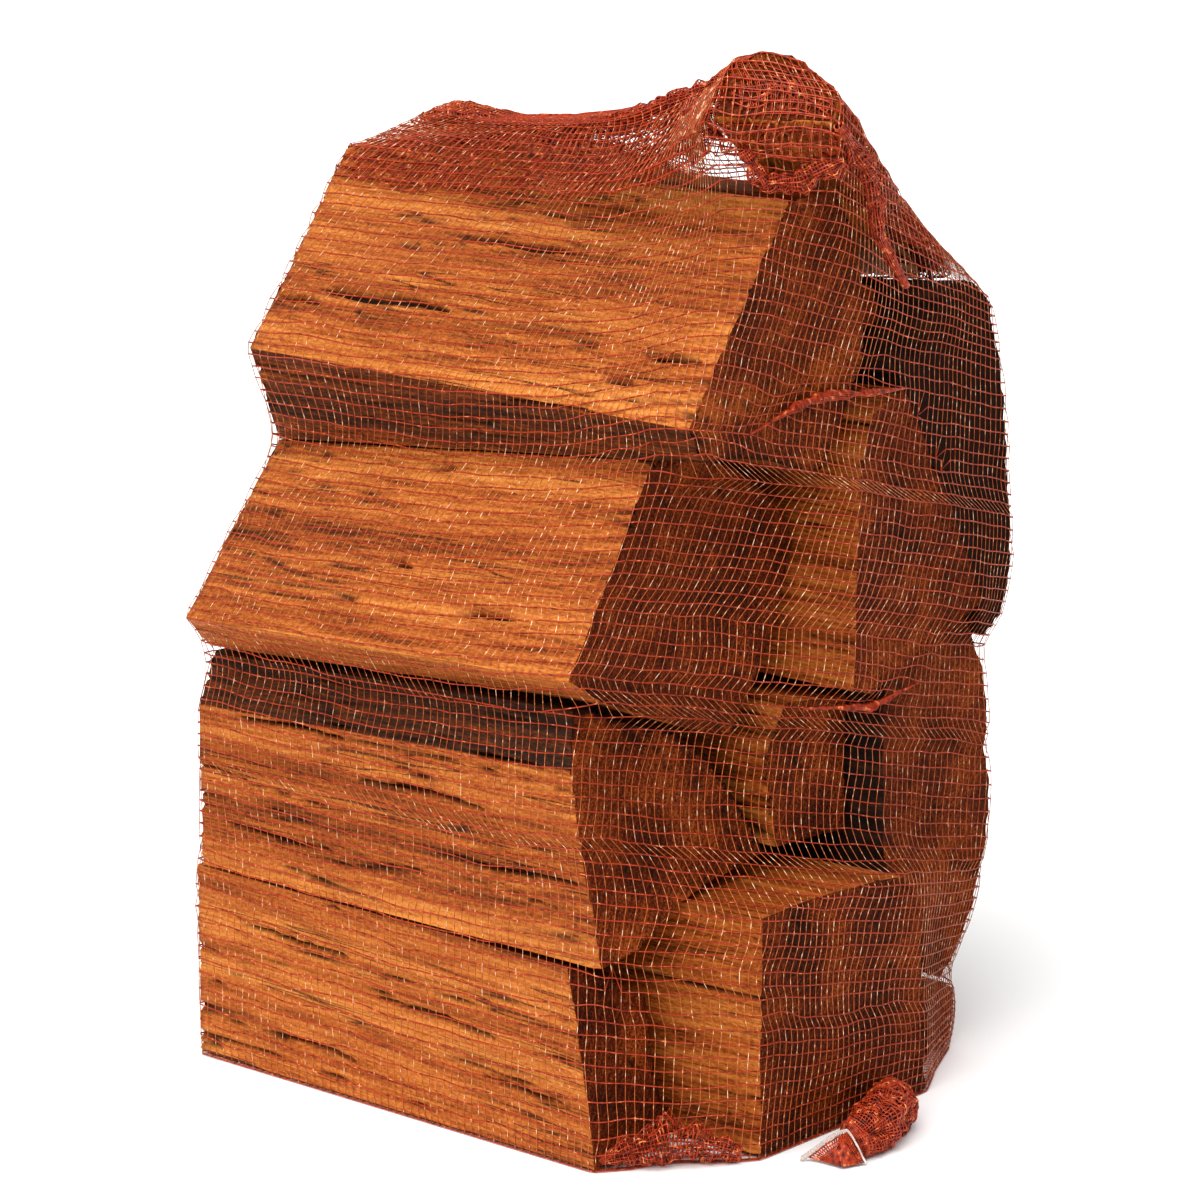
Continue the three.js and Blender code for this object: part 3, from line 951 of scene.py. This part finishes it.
def thread_nodes(name, weft, radius, sides):
    """Geometry Nodes that turn the flagged edges of a grid into tubes."""
    group = bpy.data.node_groups.new(name, "GeometryNodeTree")
    for way in ("INPUT", "OUTPUT"):
        group.interface.new_socket("Geometry", in_out=way, socket_type="NodeSocketGeometry")
    nodes, links = group.nodes, group.links
    start, end = nodes.new("NodeGroupInput"), nodes.new("NodeGroupOutput")
    flag = nodes.new("GeometryNodeInputNamedAttribute")
    flag.data_type = "INT"
    flag.inputs["Name"].default_value = "weft_edge"
    same = nodes.new("FunctionNodeCompare")
    same.data_type = "INT"
    same.operation = "EQUAL"
    same.inputs[3].default_value = int(weft)
    links.new(flag.outputs["Attribute"], same.inputs[2])
    curve = nodes.new("GeometryNodeMeshToCurve")
    links.new(start.outputs[0], curve.inputs["Mesh"])
    links.new(same.outputs[0], curve.inputs["Selection"])
    profile = nodes.new("GeometryNodeCurvePrimitiveCircle")
    profile.inputs["Resolution"].default_value = sides
    profile.inputs["Radius"].default_value = radius
    tube = nodes.new("GeometryNodeCurveToMesh")
    links.new(curve.outputs[0], tube.inputs["Curve"])
    links.new(profile.outputs[0], tube.inputs["Profile Curve"])
    smooth = nodes.new("GeometryNodeSetShadeSmooth")
    links.new(tube.outputs[0], smooth.inputs[0])
    links.new(smooth.outputs[0], end.inputs[0])
    return group


def threads(mesh, name, weft, radius, material):
    """A piece of threads along the weft edges of a grid, or along its other edges."""
    piece = bpy.data.objects.new(name, mesh.copy())
    scene.collection.objects.link(piece)
    modifier = piece.modifiers.new("threads", "NODES")
    modifier.node_group = thread_nodes(name, weft, radius, 3)
    graph = bpy.context.evaluated_depsgraph_get()
    made = bpy.data.meshes.new_from_object(piece.evaluated_get(graph))
    piece.modifiers.clear()
    piece.data = made
    made.name = name
    made.materials.clear()
    made.materials.append(material)
    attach(piece, "root")
    print(name, sum(len(p.vertices) - 2 for p in made.polygons), "triangles")
    return piece


# %% [markdown]
# ## Polyethylene thread
#
# The net is knitted from slit polyethylene film. It is deep orange-red, and where a
# strand turns flat to the light it flashes nearly white. The flashes are painted
# highlights, drawn with noise finer than the mesh, because each strand twists every few
# millimetres, and the darker spots of the same noise are painted shade.

# %% Netting materials
def netting(name, shade, colour, glint, glints, roughness):
    """Knitted polyethylene film: thin strands with a hard shine, painted pale glints and painted
    darker shade.
    """
    material, tree, output = new_material(name)
    place = put(tree, "TexCoord")
    spots = put(tree, "TexNoise", {
        "Vector": place.outputs["Object"], "Scale": 380.0, "Detail": 2.0,
    })
    # Painted shade at the low end of the noise, painted glints at the high end.
    ramp = put(tree, "ValToRGB", {"Fac": spots.outputs["Fac"]}, stops=[
        (0.34, shade), (0.48, colour), (glints, colour), (glints + 0.09, glint),
    ])
    surface = put(tree, "BsdfPrincipled", {
        "Base Color": ramp.outputs["Color"],
        "Roughness": roughness,
        "IOR": 1.51,
    })
    tree.links.new(surface.outputs["BSDF"], output.inputs["Surface"])
    return material


WEFT = netting("polyethylene_weft_thread", "#6e1e08", "#b03c16", "#ec8a54", 0.62, 0.4)
WARP = netting("polyethylene_warp_thread", "#9a4418", "#c06a34", "#f7d9b8", 0.57, 0.32)
DENSE = netting("polyethylene_gathered_thread", "#64190a", "#b03c12", "#f2965c", 0.60, 0.42)

WEFT_RADIUS = 0.42 * MM
WARP_RADIUS = 0.23 * MM

net_mesh = net_grid(net, "net_grid", closed=True)
wefts = threads(net_mesh, "net_wefts", True, WEFT_RADIUS, WEFT)
threads(net_mesh, "net_warps", False, WARP_RADIUS, WARP)
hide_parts("net_bag")

# %% [markdown]
# ## Spare net at the top
#
# The tube is wider than the top of the pile, so under the mouth the spare net lies in
# crumpled layers, and along the lines of pull it is drawn together into ropes. A layer is
# the same grid pressed in and creased. A rope is a crumpled tube of net that follows a
# line of places, and at its ends it thins out into the taut net.

# %% Creased layers
noise.seed_set(1)  # or noise_vector starts from the clock, and every run creases anew
SPARE_FROM = 0.462  # spare net lies in the rings that reach over this height
SPARE_DEPTHS = (1.5 * MM, 5 * MM, 10 * MM)  # how far each layer is pressed in


def creased(points, depth, seed):
    """A layer of net under the taut one: pressed in by depth and creased all over."""
    flat = points.reshape(-1, 3)
    middle = flat.mean(axis=0) - (0, 0, 0.05)
    inward = middle - flat
    inward /= np.linalg.norm(inward, axis=1, keepdims=True)
    crease = np.array([noise.noise_vector(Vector(point) * 48 + Vector((seed, 0, 0)))
                       for point in flat])
    moved = flat + inward * depth + crease * 1.1 * depth
    return off_the_wood(moved.reshape(points.shape), 0.8 * MM)


spare = taut[taut[..., 2].max(axis=1) > SPARE_FROM]
for layer, depth in enumerate(SPARE_DEPTHS, start=1):
    spare_mesh = net_grid(creased(spare, depth, layer * 7.3), f"spare_grid_{layer}", closed=True)
    threads(spare_mesh, f"spare_layer_{layer}_wefts", True, WEFT_RADIUS, DENSE)
    threads(spare_mesh, f"spare_layer_{layer}_warps", False, 0.34 * MM, DENSE)


# %% Ropes
def crumpled_tube(marks, rows, columns, crumple):
    """A tube of net along marks of x, y, height and radius. It never sinks into the floor."""
    marks = np.array(marks)
    at = np.linspace(0, len(marks) - 1, rows)
    path = np.stack([np.interp(at, np.arange(len(marks)), marks[:, i]) for i in range(4)], axis=1)
    along = np.gradient(path[:, :3], axis=0)
    made = np.zeros((rows, columns, 3))
    for row, (x, y, z, radius) in enumerate(path):
        forward = Vector(along[row]).normalized()
        side = forward.cross(Vector((0, 0, 1))).normalized()
        up = side.cross(forward)
        for column in range(columns):
            turn = column * math.tau / columns
            ray = side * math.cos(turn) + up * math.sin(turn)
            place = Vector((x, y, z)) + ray * radius
            dent = noise.noise(place * 130) + 0.6 * noise.noise(place * 320)
            point = place + ray * radius * crumple * dent
            point.z = max(point.z, 0.6 * MM)
            made[row, column] = point
    return made


ROPES = {  # x, y, height and radius of places along each rope
    "foot_bunch": [(0.084, -0.134, 0.004, 0.002), (0.094, -0.121, 0.009, 0.006),
                   (0.104, -0.109, 0.012, 0.008), (0.114, -0.097, 0.010, 0.007),
                   (0.126, -0.085, 0.005, 0.003)],
    "top_edge": [(-0.005, -0.031, 0.460, 0.002), (0.020, -0.032, 0.467, 0.003),
                 (0.062, -0.044, 0.480, 0.0035), (0.097, -0.051, 0.492, 0.002)],
    "askew_end": [(0.140, -0.038, 0.472, 0.002), (0.132, -0.017, 0.457, 0.004),
                  (0.127, 0.001, 0.446, 0.0045), (0.119, 0.018, 0.415, 0.0035),
                  (0.114, 0.046, 0.387, 0.0015)],
    "askew_corner": [(0.100, -0.056, 0.460, 0.002), (0.105, -0.046, 0.444, 0.0045),
                     (0.119, -0.038, 0.446, 0.005), (0.133, -0.027, 0.455, 0.003)],
    "sawn_ends": [(0.112, -0.064, 0.334, 0.0002), (0.113, -0.033, 0.342, 0.0012),
                  (0.113, -0.013, 0.344, 0.0018), (0.114, 0.019, 0.341, 0.0014),
                  (0.114, 0.046, 0.339, 0.0002)],
    "side_pull": [(0.101, -0.010, 0.195, 0.0002), (0.108, 0.010, 0.193, 0.0012),
                  (0.111, 0.027, 0.190, 0.0016), (0.114, 0.060, 0.196, 0.0002)],
}
for place, marks in ROPES.items():
    grid = net_grid(crumpled_tube(marks, 40, 18, 0.9), f"rope_{place}_grid", closed=True)
    threads(grid, f"rope_{place}_wefts", True, 0.34 * MM, DENSE)
    threads(grid, f"rope_{place}_warps", False, 0.40 * MM, DENSE)

# %% [markdown]
# ## The loose corner
#
# One bottom corner of the bag sticks out at the foot of the pile. Its net is crumpled
# into a roll, and the corner itself ends in a small flap with a white tape sewn round it.

# %% Roll of spare net
TAPE_LOW, TAPE_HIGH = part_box("hem_tape")
ROLL = [  # along the foot of the pile from the back to the flap: x, y, height, radius
    (0.134, 0.018, 0.008, 0.006),
    (0.145, 0.004, 0.010, 0.010),
    (0.155, -0.012, 0.0115, 0.0115),
    (0.160, -0.028, 0.011, 0.0115),
    (0.161, -0.042, 0.008, 0.009),
    (0.159, -0.050, 0.006, 0.005),
]


for part, share, crumple in (("core", 0.75, 0.5), ("roll", 1.0, 0.38)):
    marks = [(x, y, z, share * radius) for x, y, z, radius in ROLL]
    grid = net_grid(crumpled_tube(marks, 64, 44, crumple), f"{part}_grid", closed=True)
    threads(grid, f"corner_{part}_wefts", True, WEFT_RADIUS, DENSE)
    threads(grid, f"corner_{part}_warps", False, 0.36 * MM, DENSE)

# %% Flap and its tape
FOOT_LEFT = Vector((TAPE_LOW.x, TAPE_LOW.y + 0.001, 1.2 * MM))
PEAK = Vector((TAPE_LOW.x + 0.016, TAPE_LOW.y + 0.014, TAPE_HIGH.z + 0.004))
FOOT_RIGHT = Vector((TAPE_HIGH.x - 0.001, TAPE_LOW.y + 0.015, 1.2 * MM))
FLAP_NOSE = Vector((TAPE_HIGH.x - 0.006, TAPE_LOW.y + 0.003, 1.6 * MM))


def arch(share):
    """A place on the tape's arch, from its left foot over the peak to its right foot."""
    left, right = FOOT_LEFT.lerp(PEAK, min(2 * share, 1)), PEAK.lerp(FOOT_RIGHT, 2 * share - 1)
    point = left if share < 0.5 else right
    rounding = max(0.0, 1 - abs(share - 0.5) / 0.18)
    return point - Vector((0, 0, 2.4 * MM)) * rounding ** 2


def flap_points(rows, columns):
    """The crumpled net inside the arch, bulging out to the nose of the flap."""
    made = np.zeros((rows, columns, 3))
    for row, deep in enumerate(np.linspace(0.04, 0.96, rows)):
        for column, share in enumerate(np.linspace(0.02, 0.98, columns)):
            point = arch(share).lerp(FLAP_NOSE, deep)
            bulge = math.sin(math.pi * deep) * math.sin(math.pi * share) * 3.5 * MM
            crumple = noise.noise(point * 260) * 1.6 * MM * min(1.0, 5 * deep)
            point += Vector((0.25, -0.9, 0.35)) * (bulge + crumple)
            point.z = max(point.z, 0.6 * MM)
            made[row, column] = point
    return made


flap_mesh = net_grid(flap_points(9, 30), "flap_grid", closed=False)
threads(flap_mesh, "corner_flap_wefts", True, 0.36 * MM, DENSE)
threads(flap_mesh, "corner_flap_warps", False, 0.46 * MM, DENSE)


def tape_material():
    """White polyethylene tape, woven: dull, ribbed every 0.6 mm, with random pinkish patches of
    painted shade.
    """
    material, tree, output = new_material("woven_white_hem_tape")
    place = put(tree, "UVMap")
    rib = put(tree, "TexWave", {
        "Vector": place.outputs["UV"], "Scale": 26.0, "Distortion": 1.5, "Detail": 2.0,
    }, bands_direction="X")
    # Painted shade: random pinkish patches on the white tape.
    random_pink_shade = put(tree, "TexNoise", {"Vector": place.outputs["UV"], "Scale": 9.0, "Detail": 3.0})
    colour = put(tree, "ValToRGB", {"Fac": random_pink_shade.outputs["Fac"]}, stops=[
        (0.35, "#c9a595"), (0.52, "#efe2d8"), (0.75, "#fbf5ef"),
    ])
    bump = put(tree, "Bump", {
        "Height": rib.outputs["Fac"], "Strength": 0.7, "Distance": 0.3 * MM,
    })
    surface = put(tree, "BsdfPrincipled", {
        "Base Color": colour.outputs["Color"],
        "Roughness": 0.55,
        "IOR": 1.5,
        "Normal": bump.outputs["Normal"],
    })
    tree.links.new(surface.outputs["BSDF"], output.inputs["Surface"])
    return material


TAPE_BROAD = 3.4 * MM
TAPE_ON_EDGE = 1.5 * MM
TAPE_THICKNESS = 0.5 * MM
TAPE_OFFSET = (0.8 * MM, -1.8 * MM, 1.2 * MM)  # it is sewn on the outside of the flap


def hem_tape():
    """The tape: broad on the left leg of the arch, turned on edge on the right leg."""
    lengths, widths = 60, 4
    bm = bmesh.new()
    bmesh.ops.create_grid(bm, x_segments=lengths, y_segments=widths, size=0.5, calc_uvs=True)
    uv = bm.loops.layers.uv.verify()
    for face in bm.faces:
        for loop in face.loops:
            loop[uv].uv = ((loop.vert.co.x + 0.5) * 10, loop.vert.co.y + 0.5)
    for vert in bm.verts:
        share, across = vert.co.x + 0.5, vert.co.y
        broad = TAPE_BROAD if share < 0.5 else TAPE_ON_EDGE
        fold = noise.noise(Vector((share * 7, 0, 2))) * 0.6 * MM
        across_arch, outwards, upwards = TAPE_OFFSET
        middle = arch(share) + Vector((across_arch, outwards + fold, upwards))
        vert.co = middle + Vector((0, -0.2, -0.8)) * (across + 0.5) * broad
        vert.co.z = max(vert.co.z, 0.7 * MM)
    bmesh.ops.solidify(bm, geom=bm.faces, thickness=TAPE_THICKNESS)
    bmesh.ops.recalc_face_normals(bm, faces=bm.faces)
    mesh = bpy.data.meshes.new("corner_tape")
    bm.to_mesh(mesh)
    bm.free()
    mesh.materials.append(tape_material())
    mesh.polygons.foreach_set("use_smooth", [True] * len(mesh.polygons))
    piece = bpy.data.objects.new("corner_tape", mesh)
    scene.collection.objects.link(piece)
    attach(piece, "root")
    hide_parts("hem_tape")
    return piece


tape = hem_tape()
print(tape.name, len(tape.data.polygons), "faces")

# %% [markdown]
# ## Floor and light
#
# A pale floor, one broad sun-like light from high on the front left, and an even fill
# from all round, as in a small product studio. Undercuts and sawn ends fall into shade.

# %% Floor and light
def studio_floor():
    bm = bmesh.new()
    bmesh.ops.create_grid(bm, x_segments=1, y_segments=1, size=12)
    mesh = bpy.data.meshes.new("studio_floor")
    bm.to_mesh(mesh)
    bm.free()
    floor = bpy.data.objects.new("studio_floor", mesh)
    floor.location.z = -0.2 * MM
    scene.collection.objects.link(floor)
    material, tree, output = new_material("matt_white_paper")
    surface = put(tree, "BsdfPrincipled", {"Base Color": linear("#ffffff"), "Roughness": 0.9})
    tree.links.new(surface.outputs["BSDF"], output.inputs["Surface"])
    mesh.materials.append(material)


def key_light(azimuth, elevation, softness, strength):
    """A light from far away, its disk softness degrees wide as seen from the bundle."""
    data = bpy.data.lights.new("key_light", "SUN")
    data.angle = math.radians(softness)
    data.energy = strength
    lamp = bpy.data.objects.new("key_light", data)
    a, e = math.radians(azimuth), math.radians(elevation)
    towards = Vector((math.sin(a) * math.cos(e), -math.cos(a) * math.cos(e), math.sin(e)))
    lamp.rotation_mode = "QUATERNION"
    lamp.rotation_quaternion = (-towards).to_track_quat("-Z", "Y")
    scene.collection.objects.link(lamp)


studio_floor()
key_light(azimuth=12, elevation=54, softness=70, strength=2.95)
world = bpy.data.worlds.new("studio")
world.use_nodes = True
fill = world.node_tree.nodes["Background"].inputs
fill["Color"].default_value = (1, 1, 1, 1)
fill["Strength"].default_value = 0.54
scene.world = world
scene.view_settings.view_transform = "Standard"
scene.view_settings.look = "Medium High Contrast"
